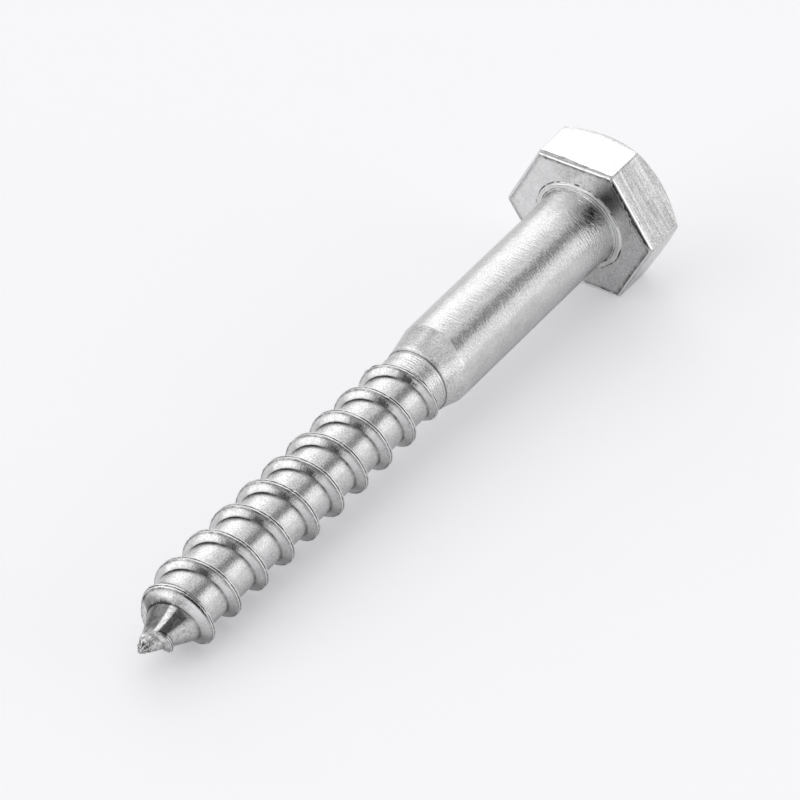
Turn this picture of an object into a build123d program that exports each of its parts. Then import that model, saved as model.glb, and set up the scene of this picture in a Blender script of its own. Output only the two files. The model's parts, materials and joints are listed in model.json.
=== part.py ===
from build123d import *

import os
from math import atan2, cos, degrees, radians, sin, tan

# A hexagon-head wood screw (coach screw), 10 mm nominal, lying as it comes to rest: on one flat of its
# head and on the crest of its last full turn of thread. Millimetres, +Z up, floor at Z = 0. Distances
# along the screw are measured from the bearing face of the head towards the point.

# Hexagon head
across_flats = 16.7
head_height = 6.7
crown_rim = 0.85
crown_slope = 35.0
crown_bevel = 0.4
bearing_edge_bevel = 0.35

# Collar and fillet at the root of the shank
collar_width = 0.9
collar_height = 0.3
root_fillet = 0.75

# Plain shank, the cone that reduces it, and the neck before the thread
shank_diameter = 9.4
shank_length = 27.5
reducer_length = 3.3
reducer_step = 0.14
neck_step = 0.32
neck_length = 0.9
neck_taper_length = 0.9

# Rolled wood thread, right hand
thread_diameter = 9.2
core_diameter = 7.06
pitch = 4.5
thread_angle = 60.0
crest_width = 0.25
thread_start_gap = 0.6
runout_length = 3.2

# Gimlet point: the last crest that touches the floor, and the cone with its small nib
length = 80.8
last_crest_to_tip = 8.2
point_length = 7.0
nib_length = 1.5
nib_diameter = 1.8
tip_diameter = 0.5
thread_end_to_tip = 0.8
thread_fade_power = 1.2

# How the thread ridge is drawn: points of each edge in a turn, how deep its foot sits in the core, and
# how deep its crest dives into the core at both ends
points_per_turn = 12
ridge_foot_depth = 0.3
ridge_end_dive = 0.1

# Radii and stations along the screw
crown_radius = across_flats / 2 - crown_rim
shank_radius = shank_diameter / 2
collar_radius = shank_radius + collar_width
core_radius = core_diameter / 2
neck_radius = core_radius + neck_step
reducer_end_radius = neck_radius + reducer_step
thread_radius = thread_diameter / 2
reducer_end = shank_length + reducer_length
neck_end = reducer_end + neck_length
core_start = neck_end + neck_taper_length
point_start = length - point_length
nib_start = length - nib_length
thread_start = reducer_end + thread_start_gap
thread_end = length - thread_end_to_tip
last_full_crest = length - last_crest_to_tip
half_thread_angle = radians(thread_angle / 2)

# The screw rests on the bevelled lower edge of one head flat and on a thread crest, so its axis dips
# towards the point.
rest_dip = atan2(across_flats / 2 - thread_radius, last_full_crest + bearing_edge_bevel)

# Frame of the screw: its origin at the centre of the bearing face, its Z along the axis towards the
# point, and its X square to the flat that the head rests on, pointing away from the floor.
screw_frame = Plane(
    origin=(0, 0, 0),
    x_dir=(sin(rest_dip), 0, cos(rest_dip)),
    z_dir=(cos(rest_dip), 0, -sin(rest_dip)),
)

# Plane that the turned outlines are drawn on: radius along its X, distance along its Y.
outline_plane = Plane(
    origin=screw_frame.origin,
    x_dir=screw_frame.x_dir,
    z_dir=screw_frame.x_dir.cross(screw_frame.z_dir),
)
screw_axis = Axis(screw_frame.origin, screw_frame.z_dir)

# Outline of the solid under the thread, as (distance, radius), from the neck to the tip.
core_outline = [
    (reducer_end, neck_radius),
    (neck_end, neck_radius),
    (core_start, core_radius),
    (point_start, core_radius),
    (nib_start, nib_diameter / 2),
    (length, tip_diameter / 2),
]


def radius_under_thread(distance):
    """Radius of the solid under the thread, on straight lines between the stations of its outline."""
    if distance <= core_outline[0][0]:
        return core_outline[0][1]
    for (near, near_radius), (far, far_radius) in zip(core_outline, core_outline[1:]):
        if distance <= far:
            share = (distance - near) / (far - near)
            return near_radius + share * (far_radius - near_radius)
    return core_outline[-1][1]


def ridge_height(distance):
    """Height of the crest over the core: it climbs out of the neck, and dies away along the point."""
    climb = min(1.0, (distance - thread_start) / runout_length)
    fade = max(0.0, (distance - point_start) / (thread_end - point_start))
    share = sin(climb * radians(90)) - fade**thread_fade_power
    return (thread_radius - core_radius) * share - ridge_end_dive * (1 - share)


def ridge_corners(distance):
    """The four corners of the ridge's section as (distance, radius): foot and crest on the head's side,
    then crest and foot on the point's side."""
    foot_base = radius_under_thread(distance)
    crest_radius = min(foot_base + ridge_height(distance), thread_radius)
    corners = []
    for side in (-1, 1):
        crest = distance + side * crest_width / 2
        reach = (crest_radius - foot_base + ridge_foot_depth) * tan(half_thread_angle)
        foot_radius = radius_under_thread(crest + side * reach) - ridge_foot_depth
        foot = crest + side * (crest_radius - foot_radius) * tan(half_thread_angle)
        corners.append([(foot, foot_radius), (crest, crest_radius)])
    return corners[0] + corners[1][::-1]


def on_helix(distance, radius, turn_distance):
    """A point of the ridge in the screw's frame. The crest passes straight below the axis at
    last_full_crest, and one turn moves it on by one pitch."""
    angle = 180 + 360 * (turn_distance - last_full_crest) / pitch
    return (radius * cos(radians(angle)), radius * sin(radians(angle)), distance)


def ridge_turn(sections):
    """One turn of the ridge as a solid: an edge through each corner of its sections, ruled faces
    between neighbouring edges, and a flat cap over the first and the last section."""
    edges = []
    for corner in range(4):
        with BuildLine(screw_frame) as corner_line:
            Spline(*[section[corner] for section in sections])
        edges.append(corner_line.edges()[0])
    faces = [
        Face.make_surface_from_curves(edge, following)
        for edge, following in zip(edges, edges[1:] + edges[:1])
    ]
    for section in (sections[0], sections[-1]):
        with BuildLine(screw_frame) as cap_line:
            Polyline(*section, close=True)
        faces.append(Face(cap_line.wires()[0]))
    return Solid(Shell(faces))


# The thread ridge is wound on turn by turn, from the neck to the point.
ridge_steps = round((thread_end - thread_start) / pitch * points_per_turn)
ridge_stations = [
    thread_start + (thread_end - thread_start) * step / ridge_steps for step in range(ridge_steps + 1)
]
ridge_sections = [
    [on_helix(along, radius, station) for along, radius in ridge_corners(station)]
    for station in ridge_stations
]
ridge_turns = [
    ridge_turn(ridge_sections[first : first + points_per_turn + 1])
    for first in range(0, ridge_steps, points_per_turn)
]

with BuildPart() as screw:
    # Hexagon lying on a flat, its crown turned down at the top by a cone that runs out past the corners
    with BuildSketch(screw_frame):
        RegularPolygon(across_flats / 2, 6, major_radius=False, rotation=30)
    extrude(amount=-head_height)
    crown_rise = (across_flats - crown_radius) * tan(radians(crown_slope))
    with BuildSketch(outline_plane) as crown_outline:
        with BuildLine():
            Polyline(
                (0, crown_rise),
                (across_flats, crown_rise),
                (across_flats, crown_rise - head_height),
                (crown_radius, -head_height),
                (0, -head_height),
                close=True,
            )
        make_face()
        crown_corner = crown_outline.vertices().sort_by_distance((crown_radius, -head_height))[0]
        chamfer(crown_corner, crown_bevel)
    revolve(axis=screw_axis, mode=Mode.INTERSECT)
    bearing_face = screw.faces().sort_by(screw_axis)[-1]
    chamfer(bearing_face.edges(), bearing_edge_bevel)

    # Collar, root fillet, shank, reducing cone, neck, core and point, turned about the axis
    with BuildSketch(outline_plane):
        with BuildLine():
            fillet_end = collar_height + root_fillet
            Polyline(
                (shank_radius + root_fillet, collar_height),
                (collar_radius, collar_height),
                (collar_radius, -collar_height),
                (0, -collar_height),
                (0, length),
                *[(radius, distance) for distance, radius in reversed(core_outline)],
                (reducer_end_radius, reducer_end),
                (shank_radius, shank_length),
                (shank_radius, fillet_end),
            )
            RadiusArc(
                (shank_radius, fillet_end),
                (shank_radius + root_fillet, collar_height),
                root_fillet,
            )
        make_face()
    revolve(axis=screw_axis)

    add(ridge_turns)

# The part stands on the floor: the middle of its footprint is the origin.
footprint = screw.part.bounding_box()
bearing_face_centre = (-footprint.center().X, -footprint.center().Y, -footprint.min.Z)
with BuildPart() as lag_screw:
    with Locations(bearing_face_centre):
        add(screw.part)
lag_screw.part.label = "lag_screw"

os.makedirs("parts", exist_ok=True)
export_step(lag_screw.part, "parts/lag_screw.step")
print("rest dip, degrees:", round(degrees(rest_dip), 3))
print("bearing face centre:", bearing_face_centre)
print("volume, mm3:", round(lag_screw.part.volume, 1), "solids:", len(lag_screw.part.solids()))
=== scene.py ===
# %% [markdown]
# # A lag screw with a hexagon head
# A lag screw is one piece of steel: a forged hexagon head, a plain shank, and a coarse rolled thread that
# runs out on a gimlet point. It has no joints, so everything here is one skin over one solid. The frame
# gives the solid and its place, and the rest of this file makes the skin, its finish, and a small studio.

# %% Load the frame
import json
import math

import bmesh
import bpy
import mathutils
import numpy as np
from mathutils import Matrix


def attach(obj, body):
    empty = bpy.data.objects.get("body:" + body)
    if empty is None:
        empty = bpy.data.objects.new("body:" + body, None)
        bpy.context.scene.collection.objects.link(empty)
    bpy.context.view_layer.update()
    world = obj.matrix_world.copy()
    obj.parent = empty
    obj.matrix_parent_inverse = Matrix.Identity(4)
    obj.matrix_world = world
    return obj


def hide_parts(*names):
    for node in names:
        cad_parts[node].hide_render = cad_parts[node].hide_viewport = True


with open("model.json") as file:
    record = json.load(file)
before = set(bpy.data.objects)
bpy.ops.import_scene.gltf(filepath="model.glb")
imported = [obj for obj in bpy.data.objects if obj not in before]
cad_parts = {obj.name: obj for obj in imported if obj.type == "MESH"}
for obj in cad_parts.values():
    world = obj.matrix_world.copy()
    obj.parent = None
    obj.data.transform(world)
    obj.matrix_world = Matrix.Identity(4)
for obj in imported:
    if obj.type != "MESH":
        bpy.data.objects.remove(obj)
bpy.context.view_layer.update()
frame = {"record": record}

# %% [markdown]
# The screw lies tilted, because its head is thicker than its thread. The record tells where its axis runs:
# the hexagon's mount lies at the top of the head and points back along the screw. A point of the screw is
# told by three numbers: how far it is along the axis from the underside of the head, how far it is from
# the axis, and its angle round the axis, where 0 degrees is up. All lengths below are in millimetres.

# %% Axis of the screw
MM = 0.001
HEAD_HEIGHT = 6.7
mounts = {mount["name"]: mount for mount in frame["record"]["mounts"]}
along = -np.array(mounts["hex_drive"]["axis"], dtype=float)
along /= np.linalg.norm(along)
bearing_centre = np.array(mounts["hex_drive"]["pos_m"]) / MM + HEAD_HEIGHT * along
up = np.array([0.0, 0.0, 1.0])
up -= up.dot(along) * along
up /= np.linalg.norm(up)
aside = np.cross(along, up)
dip = math.degrees(math.asin(-along[2]))
print("axis dips", round(dip, 3), "degrees, head centre", bearing_centre.round(3))

# %% [markdown]
# Many sizes of the screw change along it by a short table of values. Straight lines between them would
# leave faint rings in the polished steel, so a smooth curve goes through the values. The point needs one
# such table at once: it was nipped off while it was soft, and its last stretch leans to one side.

# %% Smooth tables and places on the screw
LEAN_ANGLE = math.radians(-127)
LEAN_X = [73.6, 75.2, 76.4, 77.6, 79.2, 80.8]
LEAN = [0, 0.24, 0.34, 0.38, 0.38, 0.4]


def smooth_table(x, knots, values):
    """A curve through (knot, value) pairs: a cubic between each two, whose slope at a knot is the mean of
    the slopes on both sides, or zero where those slopes have different signs."""
    knots, values = np.asarray(knots, float), np.asarray(values, float)
    rise = np.diff(values) / np.diff(knots)
    middle_slope = np.where(rise[:-1] * rise[1:] > 0, (rise[:-1] + rise[1:]) / 2, 0)
    slope = np.concatenate([rise[:1], middle_slope, rise[-1:]])
    x = np.clip(x, knots[0], knots[-1])
    k = np.clip(np.searchsorted(knots, x, side="right") - 1, 0, len(knots) - 2)
    width = knots[k + 1] - knots[k]
    t = (x - knots[k]) / width
    return (values[k] * (1 + 2 * t) * (1 - t) ** 2 + values[k + 1] * t * t * (3 - 2 * t)
            + width * slope[k] * t * (1 - t) ** 2 - width * slope[k + 1] * t * t * (1 - t))


def on_screw(x, radius, angle):
    """Points in metres: x mm along the axis, then radius mm out from it at the angle round it, in radians,
    and on the point also the lean at x, towards the lean's angle."""
    lean = smooth_table(x, LEAN_X, LEAN)
    out_up = radius * np.cos(angle) + lean * math.cos(LEAN_ANGLE)
    out_aside = radius * np.sin(angle) + lean * math.sin(LEAN_ANGLE)
    return (bearing_centre + x[..., None] * along + out_up[..., None] * up
            + out_aside[..., None] * aside) * MM


print("lean at the tip, mm:", LEAN[-1])

# %% [markdown]
# The camera comes next, so that every later step can be looked at. It could be aimed with a constraint, but
# one place and two directions say exactly the same and depend on nothing. A long lens far away keeps the
# screw's two ends nearly the same scale.

# %% Camera
CAMERA_PLACE = np.array([435.41, 336.14, 429.03]) * MM
CAMERA_RIGHT = np.array([-0.58084848, 0.81281338, -0.04415268])
CAMERA_DOWN = np.array([0.51547054, 0.32529945, -0.79276125])
CAMERA_LENS, SENSOR_WIDTH = 293.1, 36
camera_data = bpy.data.cameras.new("camera")
camera = bpy.data.objects.new("camera", camera_data)
bpy.context.scene.collection.objects.link(camera)
camera_matrix = np.eye(4)
camera_matrix[:3, :3] = np.column_stack([CAMERA_RIGHT, -CAMERA_DOWN, -np.cross(CAMERA_RIGHT, CAMERA_DOWN)])
camera_matrix[:3, 3] = CAMERA_PLACE
camera.matrix_world = mathutils.Matrix(camera_matrix.tolist())
camera_data.lens = CAMERA_LENS
camera_data.sensor_width = SENSOR_WIDTH
camera_data.clip_start = 0.05
camera_data.clip_end = 20
bpy.context.scene.camera = camera
bpy.context.scene.view_settings.view_transform = "Standard"
print("camera", [round(v, 4) for v in camera.matrix_world.translation])

# %% [markdown]
# The skin is made of grids that share the same columns round the axis. The columns stand close together at
# the hexagon's six corners, so that a corner gets a small rounding, and evenly elsewhere.

# %% Columns round the axis
CORNER_STEPS = np.array([0, 0.3, 0.6, 0.9, 2, 4, 6.5, 9, 12, 15, 18, 21, 24, 27, 30])
sector = np.concatenate([CORNER_STEPS[:-1], 60 - CORNER_STEPS[:0:-1]])
columns = np.concatenate([30 + 60 * corner + sector for corner in range(6)])
ring = np.radians(np.append(columns, columns[0] + 360))


def turn_from(direction):
    """Degrees of each column from a direction round the axis, between -180 and 180."""
    return np.degrees(np.angle(np.exp(1j * (ring - math.radians(direction)))))


print("columns:", len(columns))

# %% [markdown]
# A few helpers serve every later step. An eased step or a soft hump lets a mark or a form begin and end
# gently, and a sum of a few sines makes an edge as uneven as forging and rolling leave it. Sines are used
# and not loose random numbers, because they stay smooth however closely the columns stand.

# %% Eased steps and uneven lines
def ramp(x, start, end):
    """0 before start, 1 after end, and an eased S between them: 3 t squared minus 2 t cubed."""
    t = np.clip((x - start) / (end - start), 0, 1)
    return t * t * (3 - 2 * t)


def window(x, opens, opened, closes, closed_at):
    """0 before opens, 1 from opened to closes, 0 again from closed_at: one ramp up times one ramp down."""
    return ramp(x, opens, opened) * (1 - ramp(x, closes, closed_at))


def bell(x, width):
    """A soft hump, 1 at x = 0: e to the power of minus the square of x over its width."""
    return np.exp(-(x / width) ** 2)


def wobble(x, seed, waves, longest, shortest):
    """A gentle irregular line: a sum of sines whose wavelengths run from longest to shortest, with seeded
    phases, divided by the root of their number."""
    rng = np.random.default_rng(seed)
    lengths = np.geomspace(longest, shortest, waves)
    phases = rng.uniform(0, 6.283, waves)
    total = sum(np.sin(2 * np.pi * x / length + phase) for length, phase in zip(lengths, phases))
    return total / math.sqrt(waves)


def ring_wobble(seed, counts):
    """The same round the axis, where the line has to close on itself: each sine has a whole number of waves
    in one turn."""
    phases = np.random.default_rng(seed).uniform(0, 6.283, len(counts))
    return sum(np.sin(count * ring + phase) for count, phase in zip(counts, phases)) / math.sqrt(len(counts))


print("halfway up a ramp:", float(ramp(0.5, 0, 1)), "and one width down a bell:", round(float(bell(1, 1)), 3))

# %% [markdown]
# The head and the shank are one profile carried round the axis. A cylinder with a hexagon joined on would
# need a boolean and leave a hard seam. Here each row of the profile has a place along the axis and a radius,
# and a row of the head simply has a radius that depends on the angle: the distance to a flat grows towards
# the corners by one over the cosine, and a small arc rounds each corner.

# %% Rows of the profile and the hexagon
ACROSS_FLATS = 16.7
CORNER_ROUNDING = 0.3
rows = []


def row(x, radius, soil_and_shade=0.0, rubbed_and_highlight=0.0):
    """Adds a row of the profile: x along the axis, the radius, how dark it is from soil and painted shade,
    and how bright from rubbing and painted highlight, each one number or one for each column."""
    rows.append([np.broadcast_to(value, ring.shape).astype(float) for value in (x, radius, soil_and_shade, rubbed_and_highlight)])


def hexagon(angle):
    """Distance from the axis to the hexagon's outline: half the width across flats over the cosine of the
    angle from the middle of a flat, and near a corner the far side of a circle that touches both flats."""
    half = ACROSS_FLATS / 2
    from_flat = np.radians(np.abs((np.degrees(angle) + 30) % 60 - 30))
    to_corner = math.radians(30) - from_flat
    centre = (half - CORNER_ROUNDING) / math.cos(math.radians(30))
    touch = math.atan((half - CORNER_ROUNDING) * math.tan(math.radians(30)) / half)
    under_root = np.clip(CORNER_ROUNDING ** 2 - (centre * np.sin(to_corner)) ** 2, 0, None)
    arc = centre * np.cos(to_corner) + np.sqrt(under_root)
    return np.where(from_flat < touch, half / np.cos(from_flat), arc)


outline = hexagon(ring)
print("hexagon, mm: flats at", round(float(outline.min()), 3), "corners at", round(float(outline.max()), 3))

# %% [markdown]
# The top of the head is flat with a rounded border, then a cone that turns the corners down. Where the cone
# meets the sides it leaves the bowed edges that every such head has. They come by themselves: the edge lies
# on the cone at the hexagon's distance, so it is highest at the middle of a side and lowest at a corner.

# %% Crown
CROWN_RADIUS = ACROSS_FLATS / 2 - 0.85
CROWN_SLOPE = math.tan(math.radians(35))
CONE_START, CONE_SHORT = 7.7, 0.14
EDGE_END = 0.12
for radius in (0, 1.5, 3, 4.5, 6, 7.1):
    row(-HEAD_HEIGHT, radius)
# The border: its radius, and how far it lies below the top.
for radius, drop in ((7.3, 0.0), (7.42, 0.012), (7.55, 0.055), (CONE_START, 0.14)):
    row(-HEAD_HEIGHT + drop, radius)
for share in (0.35, 0.65):
    radius = CONE_START + (outline - CONE_SHORT - CONE_START) * share
    row(-HEAD_HEIGHT + (radius - CROWN_RADIUS) * CROWN_SLOPE, radius)
crown_edge = -HEAD_HEIGHT + (outline - CROWN_RADIUS) * CROWN_SLOPE
# The rounded edge: how far inside the outline a row lies, and how far past the sharp edge.
for inward, past in ((CONE_SHORT, -0.098), (0.08, -0.052), (0.035, -0.005), (0.01, 0.05), (0.0, EDGE_END)):
    row(crown_edge + past, outline - inward)
print("crown edge, mm: highest", round(float(crown_edge.min()), 2),
      "lowest", round(float(crown_edge.max()), 2))

# %% [markdown]
# The six sides are plain, and the trimming tool left a sheared band of uneven width along their lower edge.
# The band leans in by about ten degrees, so it mirrors another part of the room and shows as a line. On the
# side that faces right the band is painted bright as a highlight, and elsewhere it is a little darker. The
# other five sides are painted brighter than the right one, a painted highlight. Its width is an uneven line
# round the axis, so the rows stay whole and only swing up and down.

# %% Sides and sheared band
BAND_WIDTH, BAND_UNEVEN, BAND_WIDER, BAND_NARROWER = 0.42, 0.05, 0.07, 0.05
BAND_GAP, SIDE_HIGHLIGHT = 0.05, 0.6
top_turn, right_turn = turn_from(0), turn_from(-60)
edge_width = BAND_WIDTH + BAND_UNEVEN * ring_wobble(3, (3, 7, 13, 22, 37, 53))
# On top of the screw the band is wider to the left and narrower to the right.
edge_width = (edge_width + BAND_WIDER * window(top_turn, 0.5, 3, 27, 31)
              - BAND_NARROWER * window(top_turn, -31, -27, -2, 0.5))
nick = 0.5 + 0.5 * ring_wobble(11, (5, 12, 23, 31, 47, 59, 71))
# Painted highlight: the band on the right side and the other five sides are painted brighter.
right_band_highlight = window(right_turn, -30, -27, 27, 30)
side_highlight = SIDE_HIGHLIGHT * (1 - window(right_turn, -31, -28, 28, 31))
side_start, side_end = crown_edge + EDGE_END, -edge_width - BAND_GAP
for share in np.linspace(0, 1, 15)[1:]:
    row(side_start + (side_end - side_start) * share, outline, 0, side_highlight)
# Share of the band's width, how far inside the outline, darkening, and painted highlight on the right side.
SHEARED_BAND = [(0.0, 0.004, 0.25, 0.0), (0.05, 0.012, 0.5, 0.0), (0.12, 0.024, 0.25, 0.9),
                (0.5, 0.052, 0.25, 0.9), (0.86, 0.079, 0.0, 0.9)]
for across, deep, soil_and_shade, rubbing_and_highlight in SHEARED_BAND:
    row(-edge_width * (1 - across), outline - deep, soil_and_shade * (1 - right_band_highlight) * nick, rubbing_and_highlight * right_band_highlight)
print("band width, mm:", round(float(edge_width.min()), 2), "to", round(float(edge_width.max()), 2))

# %% [markdown]
# The tool also pushed a thin burr over the edge, which stands a little proud of the bearing face. It is
# rubbed bright with a painted highlight, with painted shade in the crease behind it. On the right side a
# dark gap runs before the burr, with painted shade in it. The same uneven line moves the burr in and out and
# makes its painted shade and its shine come and go.

# %% Burr
BURR_WIDTH = 0.46
# Place past the bearing face, how far inside the outline, painted shade, painted shade on the right side,
# rubbing and highlight.
BURR = [(-0.05, 0.09, 0.15, 0.4, 0.4), (-0.025, 0.1, 0.2, 1.0, 0.4), (-0.005, 0.13, 0.0, 1.0, 0.9),
        (0.02, 0.19, 0.0, 1.0, 0.9), (0.035, 0.22, 0.0, 0.9, 0.9), (0.05, 0.26, 0.0, 0.0, 0.9),
        (0.055, 0.31, 0.0, 0.0, 0.9), (0.01, 0.34, 0.8, 0.8, 0.0), (0.0, 0.4, 0.5, 0.4, 0.0)]
gap_width = 0.2 * right_band_highlight * (0.3 + nick)
left_sides = ramp(top_turn, 28, 34)
for past, deep, soil_and_shade, right_gap_shade, rubbing_and_highlight in BURR:
    burr_shade = soil_and_shade * (1 - 0.7 * left_sides) + (right_gap_shade - soil_and_shade) * right_band_highlight
    row(past + 0.02 * nick * (past > 0.02), outline - deep - 0.03 * nick - gap_width * (deep > 0.2),
        np.clip(burr_shade * (0.6 + nick), 0, 1), rubbing_and_highlight * (0.5 + 0.6 * nick))
burr_inside = outline - BURR_WIDTH - gap_width
print("burr rows:", len(BURR))

# %% [markdown]
# The bearing face is flat, with a painted dark reflection of the shank on its right and a painted highlight
# towards its left. Round the root of the shank it carries a raised ring, the mark of the forging die, with
# two rubbed lips that carry a painted highlight, a seam between them with painted shade on the side that
# faces up and right, and painted shade in the creases. These creases are a tenth of a millimetre wide, so
# each is a row or two of the profile.

# %% Bearing face and ring
COLLAR_RADIUS, COLLAR_UNEVEN, COLLAR_WIDTH = 5.6, 0.05, 0.65
FACE_END = 0.12
collar_outer = COLLAR_RADIUS + COLLAR_UNEVEN * ring_wobble(5, (2, 3, 5, 9, 14))
# Painted dark reflection of the shank on the bearing face, and a painted highlight towards its left.
painted_shank_reflection = 0.38 * bell(turn_from(-48), 15)
for share in (0.15, 0.35, 0.55, 0.75, 0.9, 1.0):
    face_radius = burr_inside + (collar_outer + FACE_END - burr_inside) * share
    row(0.0, face_radius, painted_shank_reflection, 0.75 * ramp(top_turn, 5, 30))
# How far inside the ring's foot, place past the bearing face, painted shade in a crease, painted shade in the
# seam, rubbing and highlight.
RING = [(-0.1, 0.0, 0.5, 0, 0), (-0.05, 0.0, 1.0, 0, 0), (0.01, 0.03, 1.0, 0, 0), (0.03, 0.1, 0.1, 0, 0.95),
        (0.07, 0.17, 0, 0, 0.95), (0.13, 0.235, 0, 0, 0.95), (0.2, 0.27, 0, 0, 1), (0.24, 0.26, 0, 0.9, 0.3),
        (0.3, 0.255, 0, 1.0, 0.3), (0.33, 0.275, 0, 0, 1), (0.38, 0.295, 0, 0, 1), (0.54, 0.3, 0, 0, 1),
        (0.58, 0.285, 0.7, 0, 0.3), (0.62, 0.26, 0.9, 0, 0), (COLLAR_WIDTH, 0.26, 0.3, 0, 0)]
crease_shade = 0.35 + 1.1 * ring_wobble(17, (1, 2, 4, 7, 13, 27, 41))
seam_shade = 0.15 + 0.85 * window(top_turn, -62, -50, -18, -8)
for inward, past, in_crease, in_seam, rubbing_and_highlight in RING:
    row(past, collar_outer - inward, np.clip(in_crease * crease_shade + in_seam * seam_shade, 0, 1), rubbing_and_highlight)
print("ring radius, mm:", round(float(collar_outer.min()), 2), "to", round(float(collar_outer.max()), 2))

# %% [markdown]
# A quarter of an ellipse leads from the ring into the shank. The shank is drawn wire, so it is straight. A
# painted dark reflection, broken up by the grain, sits at its root on the side that faces right, and a faint
# line of painted shade runs underneath. Past the fillet the shank is still a hair thicker, and the rest of
# that swell dies out along it.

# %% Fillet and shank
SHANK_RADIUS, ROOT_SWELL = 4.7, 0.03
FILLET_START, FILLET_END = COLLAR_RADIUS - COLLAR_WIDTH, SHANK_RADIUS + ROOT_SWELL
FILLET_X, FILLET_LENGTH = 0.24, 0.95
SWELL_START_X, SWELL_LENGTH = 1.2, 0.9
# Painted dark reflection at the root of the shank, and painted shade along its underside.
painted_reflection_patch = bell(turn_from(-40), 15)
for share in np.linspace(0, 1, 8)[1:]:
    turn = share * math.pi / 2
    row(FILLET_X + FILLET_LENGTH * (1 - math.cos(turn)),
        FILLET_START - (FILLET_START - FILLET_END) * math.sin(turn), 0.7 * share * painted_reflection_patch)
painted_shade_underneath = 0.3 * bell(turn_from(-118), 7)
for x in np.concatenate([np.arange(1.5, 4.4, 0.4), np.arange(4.9, 27.0, 0.7)]):
    swell = ROOT_SWELL * math.exp(-(x - SWELL_START_X) / SWELL_LENGTH)
    row(x, SHANK_RADIUS + swell, 0.72 * bell(x - 1.5, 1.5) * painted_reflection_patch + painted_shade_underneath)
print("rows so far:", len(rows))

# %% [markdown]
# Between the smooth shank and the thread the bar was squeezed down: a cone, a small bead at its end, and a
# neck with fine rings from the rolling. They are turned shapes like the shank, so they are more rows of the
# same profile. The cone starts a little askew, sooner on top and later below. `core` and `neck` give the
# radius under the thread at any place along the axis.

# %% Reducer and neck
REDUCER_START, REDUCER_END = 27.75, 30.68
REDUCER_RADIUS, NECK_RADIUS = 4.0, 3.84
NECK_RINGS_X, NECK_RING_PITCH, NECK_RING_HEIGHT = 30.96, 0.36, 0.03
NECK_END, NECK_TAPER = 32.3, 0.9
THREAD_START_X, THREAD_END_X = 31.35, 79.6
CORE_X = [31, 45, 60, 73.6, 74.0, 76.1, 77.7, THREAD_END_X]
CORE = [3.5, 3.5, 3.52, 3.58, 3.5, 2.43, 1.66, 0.85]


def core(x):
    """Radius of the screw under its thread: the core, which is a little thicker towards the point, then the
    gimlet cone."""
    return smooth_table(x, CORE_X, CORE)


def neck(x, neck_end=NECK_END):
    """The core with the neck before it: a short thicker part with turned rings, which ends at neck_end. The
    rings are a sine along the axis, whose height swells and shrinks by a slower sine."""
    neck_share = 1 - ramp(x, neck_end, neck_end + NECK_TAPER)
    rings = (NECK_RING_HEIGHT * np.sin(2 * np.pi * (x - NECK_RINGS_X) / NECK_RING_PITCH)
             * (0.75 + 0.4 * np.sin(5.3 * x)) * ramp(x, 30.9, 31.1))
    return core(x) + (NECK_RADIUS + rings - core(x)) * neck_share


start = REDUCER_START - 0.6 * np.cos(ring - math.radians(53))
# Place before or past the cone's start, and how much thinner than the shank.
for past, thinner in ((-0.25, 0.002), (-0.1, 0.002), (0.0, 0.02), (0.1, 0.04), (0.25, 0.07)):
    row(start + past, SHANK_RADIUS - thinner)
slope_x, slope_radius = start + 0.25, SHANK_RADIUS - 0.07
for share in (0.2, 0.35, 0.5, 0.65, 0.8, 0.9):
    row(slope_x + (REDUCER_END - slope_x) * share, slope_radius + (REDUCER_RADIUS - slope_radius) * share)
# The bead: place along the axis, radius, painted shade in the crease where it meets the neck.
for x, radius, soil_and_shade in ((30.7, 4.03, 0.0), (30.8, 4.045, 0.0), (30.87, 4.02, 0.0), (30.9, 3.95, 0.2),
                        (30.93, 3.87, 0.7), (30.97, 3.855, 0.5)):
    row(x, radius, soil_and_shade)
for x in (31.02, 31.1, 31.18, 31.26, THREAD_START_X):
    row(x, float(neck(np.array(x))))
turned_x, turned_r, turned_soil_and_shade, turned_rubbed_and_highlight = np.array(rows).transpose(1, 0, 2)
print("turned rows:", len(rows))

# %% [markdown]
# The thread is one long strip wound round the core, and its crest is the line that everything else follows.
# A Screw modifier could wind a profile too, but here the pitch closes up and the height dies away over the
# point, so the crest is a function of an angle that goes on growing from turn to turn. Before its first
# turn and after its last the crest's path stands still, which lets the strip end on plain rings.

# %% Path of the crest
PITCH = 4.5
CREST_MARK_X = 72.6
# The crest mark is the angle at which the last full crest lies straight below the axis.
CREST_MARK = 180 + 360 * 9
first_angle = CREST_MARK - (CREST_MARK_X - THREAD_START_X) / PITCH * 360
first_angle = columns[np.argmin(np.abs(columns - first_angle))]
POINT_KNOTS = np.array([-217, -127, -37, 0, 53, 143, 233, 323, 413, 450, 480, 503, 540, 570, 600, 660])
POINT_X = [69.89, 71.22, 72.2, CREST_MARK_X, 73.38, 74.42, 75.15, 76.3, 77.75, 78.0, 78.25, 78.48, 78.87,
           79.14, 79.4, THREAD_END_X]
path_knots = np.concatenate([[first_angle, CREST_MARK - 360 * 8.6], CREST_MARK + POINT_KNOTS])
path_x = [THREAD_START_X, CREST_MARK_X - PITCH * 8.6] + POINT_X


def path(angle):
    """How far along the axis the crest lies at an angle in degrees: a steady helix, drawn together over the
    point, and standing still before its start and after its end."""
    return smooth_table(angle, path_knots, path_x)


turns = np.concatenate([columns + 360 * turn for turn in range(-2, 12)])
strip_angle = turns[(turns > first_angle - 360.01) & (turns < path_knots[-1] + 0.01)]
last_angle = strip_angle[-1]
print("turns of the thread:", round((last_angle - first_angle) / 360, 2))

# %% [markdown]
# The crest climbs out of the neck like a quarter of a sine, is full over nine turns, and sinks into the
# point. Small dents along it catch the light, as on any screw that has lain in a box with others.

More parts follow.
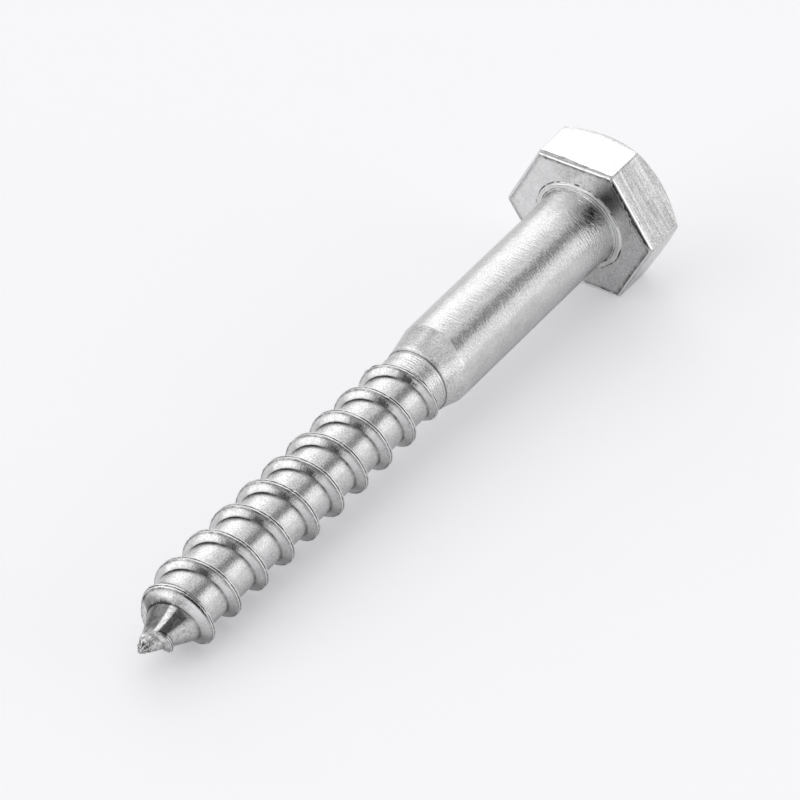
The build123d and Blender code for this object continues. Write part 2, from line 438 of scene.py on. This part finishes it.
# %% Height of the crest
CREST_KNOTS = CREST_MARK + np.array([-3240, -2700, -1800, -360, 0, 53, 143, 233, 283, 323, 373, 413, 450, 480,
                                     503, 540, 570, 600, 660])
CREST_RADIUS = [4.4, 4.47, 4.53, 4.58, 4.6, 4.74, 4.45, 3.85, 3.5, 3.15, 2.5, 2.18, 2.05, 1.9,
                1.7, 1.36, 1.18, 1.04, 0.85]
CLIMB_LENGTH = 3.2


def under_crest(x, angle):
    """Radius under the thread. In the band before the first crest the neck reaches up to that crest."""
    return neck(x, NECK_END + 3.0 * ramp(first_angle - angle, 10, 90))


def crest(angle):
    """Radius of the crest: the neck's radius plus a quarter sine of the climb while it rises, then the table
    with its dents, and the core's radius at the very end."""
    dents = 0.02 * wobble(angle, 7, 12, 150, 7) + 0.009 * wobble(angle, 31, 14, 13, 5)
    low, full = neck(np.array(THREAD_START_X)), smooth_table(angle, CREST_KNOTS, CREST_RADIUS) + dents
    rise = np.sin(np.pi / 2 * np.clip((path(angle) - THREAD_START_X) / CLIMB_LENGTH, 0, 1))
    fade = 1 - ramp(angle, last_angle - 60, last_angle)
    radius = low + (full - low) * rise
    return core(path(angle)) + (radius - core(path(angle))) * np.where(angle > last_angle - 61, fade, 1)


def crest_heights(angle):
    """How high this turn's crest and the next turn's crest stand over the steel between them."""
    here = crest(angle) - under_crest(path(angle), angle)
    after = crest(angle + 360) - under_crest(path(angle + 360), angle)
    return here, after


print("tallest crest, mm:", round(float(crest_heights(strip_angle)[0].max()), 3))

# %% [markdown]
# Across the strip run the rows from one crest to the next: the crest's land, the flank, the root, the core,
# and then the same in reverse up to the next crest. The land is two lips with a seam between them, where
# the rolled metal met. The flank is steep near the crest and flatter near the root, which is sharp.

# %% Section of the thread
LAND_FORE, LAND_AFT = 0.155, 0.45
# The two halves of a crest, from the middle of its land outwards: distance along the axis, share of the
# height, painted shade, rubbing and painted highlight.
TOWARDS_POINT = [
    (0.0, 1.0, 0.0, 0.9), (0.06, 0.996, 0.0, 0.9), (0.12, 0.986, 0.0, 0.9), (LAND_FORE, 0.94, 0.5, 0.2),
    (0.185, 0.86, 0.4, 0.0), (0.24, 0.73, 0.0, 0.0), (0.32, 0.57, 0.0, 0.0), (0.42, 0.41, 0.05, 0.0),
    (0.54, 0.25, 0.1, 0.0), (0.64, 0.1, 0.3, 0.0), (0.685, 0.035, 1.0, 0.0), (0.72, 0.006, 1.0, 0.0),
    (0.8, 0.0, 1.0, 0.0), (0.9, 0.0, 0.6, 0.0), (1.06, 0.0, 0.25, 0.0), (1.25, 0.0, 0.0, 0.0)]
TOWARDS_HEAD = [
    (0.0, 1.0, 0.0, 0.9), (0.012, 0.99, 0.4, 0.5), (0.03, 0.945, 1.0, 0.0), (0.15, 0.93, 1.0, 0.0),
    (0.172, 0.975, 0.4, 0.5), (0.185, 0.988, 0.0, 0.9), (0.24, 0.995, 0.0, 0.9), (0.3, 1.0, 0.0, 0.9),
    (0.32, 0.96, 0.8, 0.2), (0.345, 0.9, 1.0, 0.0), (LAND_AFT, 0.8, 1.0, 0.0), (0.58, 0.52, 0.2, 0.0),
    (0.75, 0.24, 0.1, 0.0), (0.91, 0.04, 0.4, 0.0), (0.94, 0.0, 0.8, 0.0), (1.05, 0.0, 0.1, 0.0)]
CORE_SHARES = np.array([0.2, 0.4, 0.6, 0.8])[:, None]
fore_off, fore_rise, fore_shade, fore_rubbed_and_highlight = np.array(TOWARDS_POINT).T[:, :, None]
aft_off, aft_rise, aft_shade, aft_rubbed_and_highlight = np.array(TOWARDS_HEAD).T[:, :, None]
# On the point the flank is wider: degrees past the crest mark, and by how much.
WIDER_AT, WIDER = [-90, 90, 143, 233, 330, 420], [0, 0.16, 0.27, 0.5, 0.2, 0]


def half_profile(off, land, height, angle):
    """Distances from the crest for the rows of one half. The land keeps its width and the flank widens with
    the height; where the thread has hardly begun the rows are spread evenly over the neck."""
    past_mark = angle - CREST_MARK
    flank_scale = 0.1 + 0.9 * np.clip(height / 0.9, 0, 1) + smooth_table(past_mark, WIDER_AT, WIDER)
    narrower = 0.3 * ramp(past_mark, 20, 110) * (1 - (land < 0.3) * ramp(past_mark, 360, 440))
    land_scale = 0.1 + 0.9 * np.clip(height / 0.7, 0, 1) * (1 - narrower)
    thread = np.minimum(off, land) * land_scale + np.clip(off - land, 0, None) * flank_scale
    begun = np.clip(height / 0.3, 0, 1)
    even = np.linspace(0, 1.7, len(off))[:, None]
    return np.where(past_mark < 0, thread * begun + even * (1 - begun), thread)


print("rows across the thread:", len(fore_off) + len(CORE_SHARES) + len(aft_off))

# %% [markdown]
# Along the strip runs the angle. The last row of one turn is row 0 of the next turn, so the strip closes on
# itself, and merging the points that fall together leaves no seam.

# %% Thread strip
MOST_FILLED = 0.92


def thread_shape(angle):
    """x and radius for each row and angle. From this turn's crest the first half profile goes forwards, and
    from the next turn's crest the other half goes back; both are pressed together where the room between
    the two crests is short. The rows between them lie on the core."""
    x_here, x_next = path(angle), path(angle + 360)
    high_here, high_next = crest_heights(angle)
    off_here = half_profile(fore_off, LAND_FORE, high_here, angle)
    off_next = half_profile(aft_off, LAND_AFT, high_next, angle + 360)
    off_next = np.where(angle < first_angle - 300, off_next * 0.2, off_next)
    press = np.clip(MOST_FILLED * (x_next - x_here) / (off_here[-1] + off_next[-1]), 0, 1)
    x_fore, x_aft = x_here + off_here * press, x_next - off_next * press
    x_core = x_fore[-1] + (x_aft[-1] - x_fore[-1]) * CORE_SHARES
    radius = np.concatenate([under_crest(x_fore, angle) + fore_rise * high_here, under_crest(x_core, angle),
                             (under_crest(x_aft, angle) + aft_rise * high_next)[::-1]])
    return np.concatenate([x_fore, x_core, x_aft[::-1]]), radius


strip_x, strip_r = thread_shape(strip_angle)
print("thread strip:", strip_x.shape, "crest radius", round(float(strip_r.max()), 3))

# %% [markdown]
# Painted shade darkens the seam, the steel behind the crest and the root. It is uneven along the thread,
# and it also depends on the side of the screw, where the light falls differently. Near the last full crest
# the lips stand apart and leave a gap with painted shade in it. The point was rolled into facets, and two of
# them are painted darker as shade.

# %% Painted shade on the thread
CONE_SPAN = (75.2, 75.5, 78.1, 78.5)


def own_turn(angle):
    """The angle within its own turn, between -180 and 180 degrees."""
    return (angle + 180) % 360 - 180


def begun(angle):
    """How far this turn's crest and the next turn's crest have begun: 1 from half a millimetre of height."""
    return [np.clip(crest_height / 0.5, 0, 1) for crest_height in crest_heights(angle)]


def thread_shade(angle, x):
    """Painted shade for each row and angle: the section's own, times an uneven line on the land, or in the
    root a line that depends on the side of the screw; then the gap, the dark facets and a veil underneath,
    all painted shade."""
    side, past_mark = own_turn(angle), angle - CREST_MARK
    begun_here, begun_next = begun(angle)
    uneven = 0.85 + 0.5 * wobble(angle, 21, 12, 90, 6)
    root_shade = 0.45 + 0.25 * bell(side + 55, 14) + 0.5 * window(side, -35, 20, 62, 80)
    root_shade = root_shade + 0.1 * wobble(angle, 22, 6, 90, 12)
    root_shade = root_shade * (1 - ramp(past_mark, 60, 150) * np.where(fore_off > 0.78, 1, 0.2))
    right_side = window(side, -125, -100, -50, -42)
    far_side = np.maximum(ramp(side, 55, 75), 1 - ramp(side, -150, -130))
    fore = fore_shade * begun_here * np.where(fore_off < 0.3, uneven, root_shade)
    fore = fore * (1 - 0.8 * right_side * (fore_off > 0.17) * (fore_off < 0.3))
    aft = aft_shade * begun_next * np.where(aft_off < 0.5, uneven, 0.6)
    lighter_by_side = np.where(aft_off > 0.31, 0.9 * right_side + 0.8 * far_side, 0.4 * far_side)
    aft = aft * (1 - lighter_by_side * (aft_off < 0.5))
    # Painted shade: the gap between the lips, the wedge behind the crest, the darker facets and the veil
    # underneath.
    gap_shade = bell(past_mark - 132, 22) * (fore_off > 0.11) * (fore_off < 0.2)
    wedge_shade = bell(past_mark + 360 - 143, 14)
    wedge_shade = 2.5 * wedge_shade * (aft_off > 0.28) * (aft_off < 0.7 * wedge_shade)
    soil_and_shade = np.concatenate([fore + gap_shade, np.zeros((len(CORE_SHARES), len(angle))), (aft + wedge_shade)[::-1]])
    shaded_facets = 0.5 * window(side, -13, -10, 60, 70) + 0.62 * window(side, -62, -57, -30, -27)
    underside_veil = np.concatenate([0.32 * (fore_off > 0.2), np.full(CORE_SHARES.shape, 0.25),
                           0.2 * (aft_off > 0.8)[::-1]])
    soil_and_shade = soil_and_shade + window(x, *CONE_SPAN) * shaded_facets + window(side, -180, -170, -125, -98) * underside_veil
    return np.clip(soil_and_shade, 0, 1)


strip_shade = thread_shade(strip_angle, strip_x)
print("soil on the thread, mean:", round(float(strip_shade.mean()), 3))

# %% [markdown]
# The lips are rubbed bright and carry a painted highlight, the flank that faces the point is burnished in
# streaks along the thread by the rolling dies and painted bright as a highlight on the side that faces right,
# and one facet of the cone carries a painted highlight. The streaks are one uneven line, read at a different
# place for each row.

# %% Rubbed steel and painted highlights on the thread
STREAK_SHIFT = 611
MOST_RUBBED_AND_HIGHLIGHT = 0.9


def thread_rubbed_and_highlight(angle, x):
    """Rubbing and painted highlight for each row and angle: the section's own, plus streaks or the painted
    highlight of the right side on the flank that faces the point, some of that highlight on the core, and the
    painted highlight of the cone's facet."""
    side = own_turn(angle)
    begun_here, begun_next = begun(angle)
    flank = (fore_off > 0.2) * (fore_off < 0.66)
    shifted = angle + STREAK_SHIFT * np.arange(len(fore_off))[:, None]
    streaks = np.clip(0.35 + 0.6 * wobble(shifted, 41, 12, 160, 9), 0, 1) * begun_here
    # Painted highlight: the flank and the core on the side that faces right.
    right_side = window(side, -85, -70, -50, -42) * begun_here
    fore = fore_rubbed_and_highlight * begun_here + flank * np.maximum(0.55 * streaks, 0.85 * right_side)
    on_core = np.broadcast_to(0.5 * right_side, (len(CORE_SHARES), len(angle)))
    rubbed_and_highlight = np.concatenate([fore, on_core, (aft_rubbed_and_highlight * begun_next)[::-1]])
    facet_highlight = window(x, *CONE_SPAN) * window(side, -30, -27, -13, -10)
    return np.clip(rubbed_and_highlight + 0.8 * facet_highlight, 0, MOST_RUBBED_AND_HIGHLIGHT)


strip_rubbed_and_highlight = thread_rubbed_and_highlight(strip_angle, strip_x)
print("rubbing on the thread, mean:", round(float(strip_rubbed_and_highlight.mean()), 3))

# %% [markdown]
# The point ends in a nib: where the waste was nipped off, the metal folded over and tore. It is too small
# and too broken for an exact profile, so a tapering body is pressed in along one fold and made ragged by
# three waves that run round it at different slants.

# %% Nib
NIB_ROWS = np.array([0, 0.06, 0.13, 0.21, 0.3, 0.4, 0.5, 0.6, 0.7, 0.8, 0.88, 0.95, 1.02, 1.08, 1.13])
NIB_X, NIB_RADIUS, NIB_END = [79.6, 79.9, 80.2, 80.5, 80.73], [0.85, 0.76, 0.58, 0.36, 0.14], 80.78
FOLD_ANGLE, FOLD_WIDTH = math.radians(-12), 0.36


def closed(grid, end=0.0):
    """The grid with one more row that holds a single value, which closes the nib at its end."""
    return np.concatenate([grid, np.full((1, len(ring)), end)])


nib_x = np.broadcast_to(THREAD_END_X + NIB_ROWS[:, None], (len(NIB_ROWS), len(ring)))
nib_in = ramp(nib_x, THREAD_END_X, THREAD_END_X + 0.25)
fold_turn = np.angle(np.exp(1j * (ring - FOLD_ANGLE - 0.5 * (nib_x - THREAD_END_X))))
fold = bell(fold_turn, FOLD_WIDTH)
torn_edge = (0.5 * np.sin(5 * ring + 4.1 * nib_x) + 0.35 * np.sin(9 * ring - 7.3 * nib_x + 1.1)
             + 0.3 * np.sin(13 * ring + 11.7 * nib_x + 2.6))
ragged = 0.24 * np.cos(2 * (ring + 0.9)) - 0.6 * fold + 0.11 * torn_edge
nib_r = smooth_table(nib_x, NIB_X, NIB_RADIUS) * (1 + nib_in * ragged)
nib_x = nib_x + nib_in * 0.05 * torn_edge
# Painted shade in the fold and in the pits, and painted highlights on the torn edges.
pits = np.sin(7 * ring + 13 * nib_x) * np.sin(15 * nib_x - 4 * ring)
nib_shade = closed(nib_in * np.clip(1.6 * fold + 1.5 * pits - 0.2, 0, 1))
nib_rubbed_and_highlight = closed(nib_in * np.clip((1 - 1.5 * fold) * (0.6 + torn_edge - pits), 0, MOST_RUBBED_AND_HIGHLIGHT))
nib_x, nib_r = closed(nib_x, NIB_END), closed(nib_r)
print("nib base and end radius, mm:", round(float(nib_r[0].mean()), 2), round(float(nib_r[-2].mean()), 2))

# %% [markdown]
# Some of the look goes with the shape: painted shade and painted dark reflections darken the seam, the root
# of the thread, the creases and a few patches, the crests and lips are rubbed bright and carry painted
# highlights, the shank is drawn, the flats are milled, the cone before the thread is pressed and the point is
# torn. Each of these is a number on every point of the skin, 0 for none and 1 for plenty, which the steel
# reads later on. They could be painted into an image, but numbers on the points need none.

# %% Marks of the finish and of painted light
MARKS = ("soil_and_shade", "rubbed_and_highlight", "drawn", "milled", "torn", "pressed")


def patch(x, radius, angle, soil_and_shade, rubbed_and_highlight, drawn=0, milled=0, torn=0, pressed=0):
    """One grid of the skin: its place along the axis, radius and angle, and its marks in the order above,
    each filled out to the whole grid."""
    marks = [np.broadcast_to(mark, x.shape) for mark in (soil_and_shade, rubbed_and_highlight, drawn, milled, torn, pressed)]
    return x, radius, np.broadcast_to(angle, x.shape), marks


milled = ramp(turned_r, 8.2, 8.3) * window(turned_x, -6.2, -5.9, -0.55, -0.45) * (1 - turned_rubbed_and_highlight)
drawn = window(turned_x, 0.4, 0.8, 27.0, 28.5) * (2.2 - 1.2 * ramp(turned_x, 2.5, 6))
pressed = window(turned_x, 27.8, 28.2, 30.7, 30.9)
torn = 0.5 * ramp(strip_x, 75.0, 75.8) + 0.5 * ramp(strip_x, 78.3, 79.2)
patches = [
    patch(turned_x, turned_r, ring, turned_soil_and_shade, turned_rubbed_and_highlight, drawn=drawn, milled=milled, pressed=pressed),
    patch(strip_x, strip_r, np.radians(strip_angle), strip_shade, strip_rubbed_and_highlight, torn=torn),
    patch(nib_x, nib_r, ring, nib_shade, nib_rubbed_and_highlight, torn=1)]
print("patches:", [grid[0].shape for grid in patches])

# %% [markdown]
# The three grids become one mesh. Their shared borders, the turn where each grid meets itself and the two
# ends on the axis fall on the same places, so merging points by distance closes the skin.

# %% Skin
MERGE_DISTANCE = 3e-7


def grid_faces(row_count, column_count, first):
    """Quads of a grid whose points are numbered row by row, turned to face outwards."""
    index = first + np.arange(row_count * column_count).reshape(row_count, column_count)
    a, b, c, d = index[:-1, :-1], index[1:, :-1], index[1:, 1:], index[:-1, 1:]
    return np.stack([a, d, c, b], axis=-1).reshape(-1, 4)


points, faces, marks, count = [], [], [], 0
for x, radius, angle, patch_marks in patches:
    points.append(on_screw(x, radius, angle).reshape(-1, 3))
    marks.append(np.stack([mark.ravel() for mark in patch_marks], axis=1))
    faces.append(grid_faces(*x.shape, count))
    count += x.size
points, faces, marks = np.concatenate(points), np.concatenate(faces), np.concatenate(marks)
mesh = bpy.data.meshes.new("screw")
mesh.from_pydata(points, [], faces)
for name, values in zip(MARKS, marks.T):
    attribute = mesh.attributes.new(name, "FLOAT", "POINT")
    attribute.data.foreach_set("value", np.ascontiguousarray(values, dtype=np.float32))
shell = bmesh.new()
shell.from_mesh(mesh)
bmesh.ops.remove_doubles(shell, verts=shell.verts, dist=MERGE_DISTANCE)
open_edges = sum(len(edge.link_faces) != 2 for edge in shell.edges)
print("points", len(shell.verts), "faces", len(shell.faces), "open edges", open_edges)
print("volume, mm3:", round(shell.calc_volume(signed=True) / MM ** 3, 1))
shell.to_mesh(mesh)
shell.free()
mesh.shade_smooth()
screw = bpy.data.objects.new("screw", mesh)
bpy.context.scene.collection.objects.link(screw)
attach(screw, "root")
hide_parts("lag_screw")
print("triangles:", sum(len(polygon.vertices) - 2 for polygon in mesh.polygons))

# %% [markdown]
# The steel is one material, put together from small Math nodes. A few noises, all measured in millimetres
# on the object itself, give the fine grain, the cross strokes of the drawn shank, broad blotches, the
# cutter's lines on the flats and the torn metal of the point. The marks on the skin say where each counts.

# %% Steel: nodes, noises and marks
steel = bpy.data.materials.new("steel")
steel.use_nodes = True
nodes, links = steel.node_tree.nodes, steel.node_tree.links
shader = nodes["Principled BSDF"]


def calc(operation, first, second=0.0, third=0.0):
    """One Math node: the operation on up to three values. A number is set, and a socket is joined."""
    node = nodes.new("ShaderNodeMath")
    node.operation = operation
    for socket, value in zip(node.inputs, (first, second, third)):
        if isinstance(value, bpy.types.NodeSocket):
            links.new(value, socket)
        else:
            socket.default_value = value
    return node.outputs["Value"]


def add_times(total, value, amount):
    """The total plus the value times the amount."""
    return calc("MULTIPLY_ADD", value, amount, total)


def mark(name):
    """One of the numbers that the skin carries on its points."""
    node = nodes.new("ShaderNodeAttribute")
    node.attribute_name = name
    return node.outputs["Fac"]


place = nodes.new("ShaderNodeTexCoord")
level_mm = nodes.new("ShaderNodeMapping")
links.new(place.outputs["Object"], level_mm.inputs["Vector"])
level_mm.inputs["Scale"].default_value = (1 / MM,) * 3
level_mm.inputs["Rotation"].default_value = (0, math.asin(along[2]), 0)


def noise_of(stretch, scale, detail, roughness):
    """Noise in millimetres along the screw and across it, stretched by the three numbers."""
    shape = nodes.new("ShaderNodeMapping")
    links.new(level_mm.outputs["Vector"], shape.inputs["Vector"])
    shape.inputs["Scale"].default_value = stretch
    noise = nodes.new("ShaderNodeTexNoise")
    links.new(shape.outputs["Vector"], noise.inputs["Vector"])
    noise.inputs["Scale"].default_value = scale
    noise.inputs["Detail"].default_value = detail
    noise.inputs["Roughness"].default_value = roughness
    return noise.outputs["Fac"]


grain = noise_of((1, 1, 1), 5.5, 3.0, 0.6)
strokes = noise_of((4.5, 1.3, 1.3), 1.0, 2.0, 0.5)
blotches = noise_of((0.6, 1, 1), 0.8, 3.0, 0.55)
mill_lines = noise_of((2.6, 0.1, 0.1), 1.0, 3.0, 0.6)
tears = noise_of((1, 1, 1), 1.9, 4.0, 0.65)
soil_and_shade_mark, rubbed_and_highlight_mark, drawn_mark, milled_mark, torn_mark, pressed_mark = (mark(name) for name in MARKS)
print("noises and marks:", len(nodes), "nodes")

# %% [markdown]
# Reflectance is what tells clean steel from darkened steel. It is 0.70 for clean steel and rises and falls a
# little with the noises. Rubbed steel and painted highlights are brighter and have less grain. Soil and
# painted shade multiply what is there, and are themselves broken up by the grain, so that the darkening looks
# like dirt in the small pits.

# %% Steel: reflectance
CLEAN_STEEL, DARKEST, BRIGHTEST = 0.70, 0.03, 0.95
GRAIN, GRAIN_WHERE_RUBBED_OR_HIGHLIT, GRAIN_WHERE_DRAWN = 0.98, -0.6, -0.4
BLOTCHES, MILL_LINES, TEARS, RUBBED_AND_HIGHLIGHT, MILLED = 0.26, 0.95, 1.9, 0.2, -0.09
SOIL_AND_SHADE_IN_GRAIN, SOIL_AND_SHADE_IN_STROKES, SOIL_AND_SHADE_AMOUNT, MOST_SOIL_AND_SHADE = 2.0, 1.4, 1.1, 0.95
grain_swing, stroke_swing = calc("SUBTRACT", grain, 0.5), calc("SUBTRACT", strokes, 0.5)
blotch_swing, mill_swing = calc("SUBTRACT", blotches, 0.5), calc("SUBTRACT", mill_lines, 0.5)
grain_amount = add_times(add_times(GRAIN, drawn_mark, GRAIN_WHERE_DRAWN), rubbed_and_highlight_mark, GRAIN_WHERE_RUBBED_OR_HIGHLIT)
tone = add_times(CLEAN_STEEL, grain_swing, grain_amount)
tone = add_times(tone, blotch_swing, BLOTCHES)
tone = add_times(tone, calc("MULTIPLY", mill_swing, milled_mark), MILL_LINES)
tone = add_times(tone, calc("MULTIPLY", calc("SUBTRACT", tears, 0.55), torn_mark), TEARS)
# Rubbing brightens the tone, and the same mark carries painted highlights.
tone = add_times(tone, rubbed_and_highlight_mark, RUBBED_AND_HIGHLIGHT)
tone = add_times(tone, milled_mark, MILLED)
flecks = add_times(1.0, grain_swing, SOIL_AND_SHADE_IN_GRAIN)
flecks = add_times(flecks, calc("MULTIPLY", stroke_swing, drawn_mark), SOIL_AND_SHADE_IN_STROKES)
cover = calc("MINIMUM", calc("MULTIPLY", calc("MULTIPLY", soil_and_shade_mark, flecks), SOIL_AND_SHADE_AMOUNT), MOST_SOIL_AND_SHADE)
tone = calc("MULTIPLY", tone, calc("SUBTRACT", 1.0, cover))
tone = calc("MINIMUM", calc("MAXIMUM", tone, DARKEST), BRIGHTEST)
colour = nodes.new("ShaderNodeCombineColor")
for channel in ("Red", "Green", "Blue"):
    links.new(tone, colour.inputs[channel])
links.new(colour.outputs["Color"], shader.inputs["Base Color"])
print("with reflectance:", len(nodes), "nodes")

# %% [markdown]
# Roughness says how sharply the steel mirrors the room: satin all over, a little sharper where it is rubbed
# and duller where it is milled, pressed or torn. Where the rubbing passes 0.9, on the forged ring and on
# bits of the burr, the steel is made partly matt as a painted highlight: it scatters light like a matt thing
# and mirrors only in part, so these lines show bright from every side.

# %% Steel: roughness and painted matt highlight
SATIN, BLOTCHES_IN_SATIN, SMOOTHEST = 0.18, 0.12, 0.08
ROUGHER_TORN, ROUGHER_PRESSED, ROUGHER_RUBBED, ROUGHER_MILLED = 0.06, 0.06, -0.05, 0.08
MATT_HIGHLIGHT_SLOPE, MATT_HIGHLIGHT_START, MOST_MATT_HIGHLIGHT = 8.5, -7.7, 0.8
rough = add_times(SATIN, blotch_swing, BLOTCHES_IN_SATIN)
rough = add_times(rough, torn_mark, ROUGHER_TORN)
rough = add_times(rough, pressed_mark, ROUGHER_PRESSED)
rough = add_times(rough, rubbed_and_highlight_mark, ROUGHER_RUBBED)
rough = add_times(rough, milled_mark, ROUGHER_MILLED)
links.new(calc("MAXIMUM", rough, SMOOTHEST), shader.inputs["Roughness"])
# Painted highlight: where the rubbing passes 0.9 the steel turns partly matt and bright from every side.
matt_highlight = calc("MAXIMUM", add_times(MATT_HIGHLIGHT_START, rubbed_and_highlight_mark, MATT_HIGHLIGHT_SLOPE), 0.0)
links.new(calc("SUBTRACT", 1.0, calc("MINIMUM", matt_highlight, MOST_MATT_HIGHLIGHT)), shader.inputs["Metallic"])
print("with roughness:", len(nodes), "nodes")

# %% [markdown]
# The finest relief is a bump, because it is hundredths of a millimetre deep and never reaches the outline.
# Each noise lifts the surface by its own amount where its mark is.

# %% Steel: relief
RELIEF_DEPTH = 0.012 * MM
GRAIN_RELIEF, RELIEF_WHERE_RUBBED, RELIEF_WHERE_DRAWN = 1.6, -0.8, -0.5
STROKE_RELIEF, MILL_RELIEF, TEAR_RELIEF = 4.0, 4.5, 8.0
grain_relief = add_times(GRAIN_RELIEF, drawn_mark, RELIEF_WHERE_DRAWN)
grain_relief = add_times(grain_relief, rubbed_and_highlight_mark, RELIEF_WHERE_RUBBED)
relief = calc("MULTIPLY", grain, grain_relief)
relief = add_times(relief, calc("MULTIPLY", strokes, drawn_mark), STROKE_RELIEF)
relief = add_times(relief, calc("MULTIPLY", mill_lines, milled_mark), MILL_RELIEF)
relief = add_times(relief, calc("MULTIPLY", tears, torn_mark), TEAR_RELIEF)
bump = nodes.new("ShaderNodeBump")
bump.inputs["Strength"].default_value = 1.0
bump.inputs["Distance"].default_value = RELIEF_DEPTH
links.new(relief, bump.inputs["Height"])
links.new(bump.outputs["Normal"], shader.inputs["Normal"])
mesh.materials.append(steel)
print("steel nodes:", len(nodes))

# %% [markdown]
# The floor is a wide sheet of pale matt paper at height 0. It glows a little for the eye and, more weakly,
# for the steel that mirrors it, so that the background is pale without more light falling on the screw.
# The shadow stays, because the paper is still lit by the room.

# %% Floor
FLOOR_HALF = 3.0
FLOOR_GLOW, FLOOR_GLOW_MIRRORED = 0.28, 0.11
PAPER_COLOUR, PAPER_GLOW_COLOUR, PAPER_ROUGHNESS = (0.85, 0.85, 0.86, 1), (0.985, 0.985, 1.02, 1), 0.9
corners = [(-FLOOR_HALF, -FLOOR_HALF, 0), (FLOOR_HALF, -FLOOR_HALF, 0), (FLOOR_HALF, FLOOR_HALF, 0),
           (-FLOOR_HALF, FLOOR_HALF, 0)]
floor_mesh = bpy.data.meshes.new("floor")
floor_mesh.from_pydata(corners, [], [(0, 1, 2, 3)])
floor = bpy.data.objects.new("floor", floor_mesh)
bpy.context.scene.collection.objects.link(floor)
paper = bpy.data.materials.new("paper")
paper.use_nodes = True
paper_nodes, paper_links = paper.node_tree.nodes, paper.node_tree.links
paper_inputs = paper_nodes["Principled BSDF"].inputs
paper_inputs["Base Color"].default_value = PAPER_COLOUR
paper_inputs["Roughness"].default_value = PAPER_ROUGHNESS
paper_inputs["Specular IOR Level"].default_value = 0.0
paper_inputs["Emission Color"].default_value = PAPER_GLOW_COLOUR
rays = paper_nodes.new("ShaderNodeLightPath")
mirrored = paper_nodes.new("ShaderNodeMath")
mirrored.operation = "MULTIPLY"
mirrored.inputs[1].default_value = FLOOR_GLOW_MIRRORED
paper_links.new(rays.outputs["Is Glossy Ray"], mirrored.inputs[0])
glow = paper_nodes.new("ShaderNodeMath")
glow.operation = "MULTIPLY_ADD"
glow.inputs[1].default_value = FLOOR_GLOW
paper_links.new(rays.outputs["Is Camera Ray"], glow.inputs[0])
paper_links.new(mirrored.outputs["Value"], glow.inputs[2])
paper_links.new(glow.outputs["Value"], paper_inputs["Emission Strength"])
floor_mesh.materials.append(paper)
print("floor side, m:", 2 * FLOOR_HALF)

# %% [markdown]
# Polished metal looks like the room around it, so the room matters most. Lamps would do for a matt thing,
# but here the sky itself is painted. It is a white tent all round with darker and lighter panels, and every
# panel is a patch of the sky given by its bearing and its height in degrees. The sky is made of Math nodes
# too, which first turn a direction into those two angles.

# %% Sky: nodes and angles
world = bpy.data.worlds.new("studio")
bpy.context.scene.world = world
world.use_nodes = True
sky, sky_links = world.node_tree.nodes, world.node_tree.links
TO_DEGREES = 180 / math.pi


def sky_math(operation, first, second=None, third=None):
    """One Math node of the sky. An input that is a number is set, and one that is a socket is joined."""
    node = sky.new("ShaderNodeMath")
    node.operation = operation
    for socket, value in zip(node.inputs, (first, second, third)):
        if isinstance(value, (int, float)):
            socket.default_value = value
        elif value is not None:
            sky_links.new(value, socket)
    return node.outputs["Value"]


direction = sky.new("ShaderNodeTexCoord")
split = sky.new("ShaderNodeSeparateXYZ")
sky_links.new(direction.outputs["Generated"], split.inputs["Vector"])
minus_y = sky_math("MULTIPLY", split.outputs["Y"], -1.0)
bearing = sky_math("MULTIPLY", sky_math("ARCTAN2", split.outputs["X"], minus_y), TO_DEGREES)
height = sky_math("MULTIPLY", sky_math("ARCSINE", split.outputs["Z"]), TO_DEGREES)
print("sky nodes:", len(sky))

# %% [markdown]
# A dark panel behind the camera draws the dark band along the shank, the gaps between the panels draw the
# bright ones, and the low panels shade what faces the floor. The eye itself sees a plain pale sky.

# %% Studio
TENT_LEVEL, SKY_SEEN = 0.95, 0.93
# Middle bearing, half width, lowest and highest place, change of level, softness of the edges.
PANELS = [(135, 49, -20, 62, -0.6, 10), (107, 16, -20, 22, -0.3, 8), (195, 14, -20, 28, 0.42, 5),
          (228, 26, 30, 52, -0.68, 5), (306, 27, 17, 52, 0.48, 6), (49, 29, -20, 34, 0.42, 8),
          (245, 65, 58, 79, -0.3, 7), (323, 60, -20, 7, -0.22, 5), (-5, 18, -20, 45, -0.5, 7),
          (5, 48, 51, 76, -0.4, 5), (95, 30, 67, 84, 0.5, 5)]


def edge(value, start, end):
    """0 before start, 1 after end, eased between; the other way round where start is the larger."""
    node = sky.new("ShaderNodeMapRange")
    node.interpolation_type = "SMOOTHSTEP"
    sky_links.new(value, node.inputs["Value"])
    rising = start < end
    for name, number in (("From Min", min(start, end)), ("From Max", max(start, end)),
                         ("To Min", 0.0 if rising else 1.0), ("To Max", 1.0 if rising else 0.0)):
        node.inputs[name].default_value = number
    return node.outputs["Result"]


def panel(total, middle, half_width, low, high, change, soft):
    """Adds a panel to the sky: a patch between two bearings and two heights, in degrees, whose edges are
    eased over soft degrees on both sides, that changes the tent's level by the given amount."""
    off = sky_math("ABSOLUTE", sky_math("WRAP", sky_math("SUBTRACT", bearing, middle), 180.0, -180.0))
    sideways = edge(off, half_width + soft, half_width - soft)
    mask = sky_math("MULTIPLY", sideways, edge(height, high + soft, high - soft))
    mask = sky_math("MULTIPLY", mask, edge(height, low - soft, low + soft))
    return sky_math("MULTIPLY_ADD", mask, change, total)


level = TENT_LEVEL
for panel_numbers in PANELS:
    level = panel(level, *panel_numbers)
to_eye = sky.new("ShaderNodeLightPath").outputs["Is Camera Ray"]
level = sky_math("MULTIPLY_ADD", sky_math("SUBTRACT", SKY_SEEN, level), to_eye, level)
sky["Background"].inputs["Color"].default_value = (1, 1, 1, 1)
sky_links.new(level, sky["Background"].inputs["Strength"])
print("panels:", len(PANELS))
